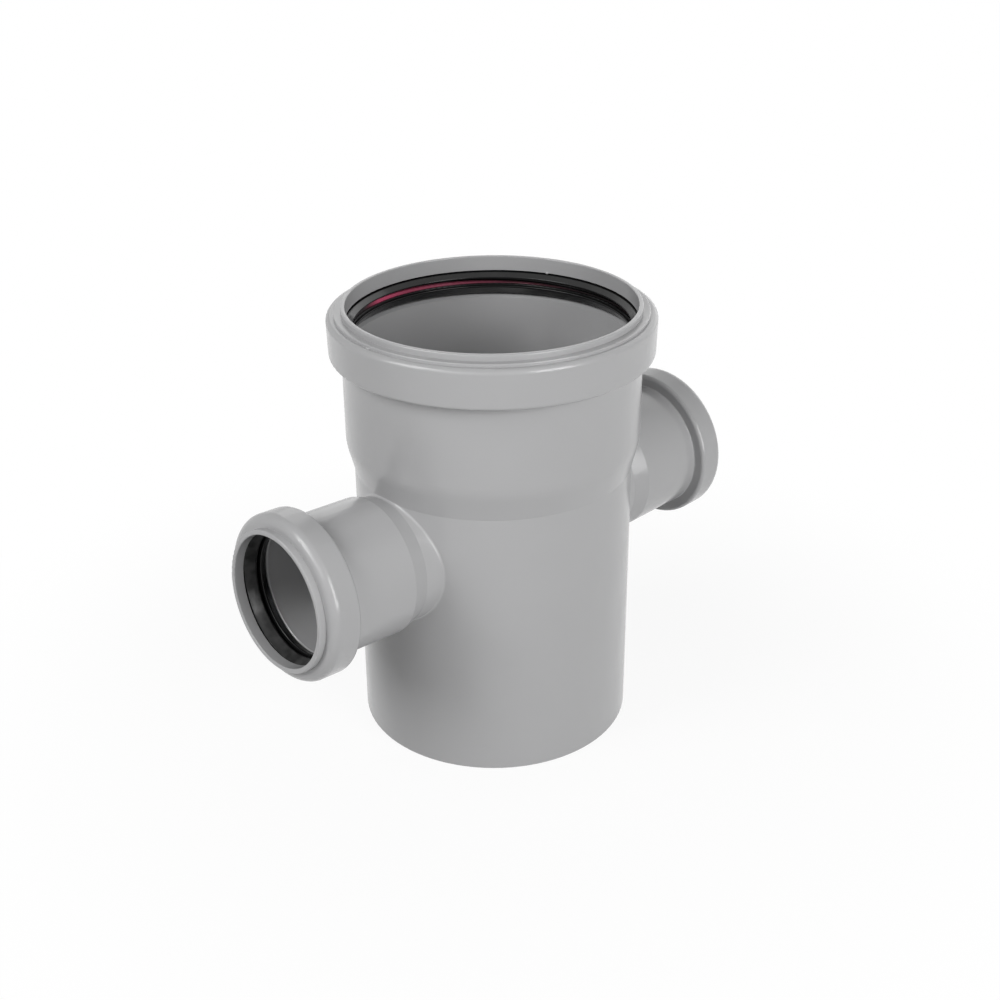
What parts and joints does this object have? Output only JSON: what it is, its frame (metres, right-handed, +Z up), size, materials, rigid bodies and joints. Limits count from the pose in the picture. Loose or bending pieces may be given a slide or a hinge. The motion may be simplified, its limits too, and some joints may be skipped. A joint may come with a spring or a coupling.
{
  "type": "pipe cross",
  "caption": "Grey push-fit drainage cross: a wide run on a plain spigot, opposite narrow branches, and rubber-sealed sockets on the top and at both branch ends",
  "frame": {"origin": "centre of the spigot's lower end, on the plane that the fitting stands on", "axes": "+Z up the run to the wide socket's mouth, +X out along the right branch (the branches rise 2.5 degrees from it), +Y across both, away from the side that the picture shows"},
  "size_m": [0.2186, 0.1258, 0.1769],
  "materials": {
    "grey_plastic": "satin moulded grey polypropylene with soft, slightly uneven gloss",
    "black_rubber": "smooth matt black sealing rubber",
    "magenta_plastic": "semi-gloss magenta plastic"
  },
  "bodies": {
    "root": {"fitting_body": "grey_plastic", "main_seal": "black_rubber", "left_seal": "black_rubber", "right_seal": "black_rubber", "support_ring": "magenta_plastic"}
  },
  "joints": []
}
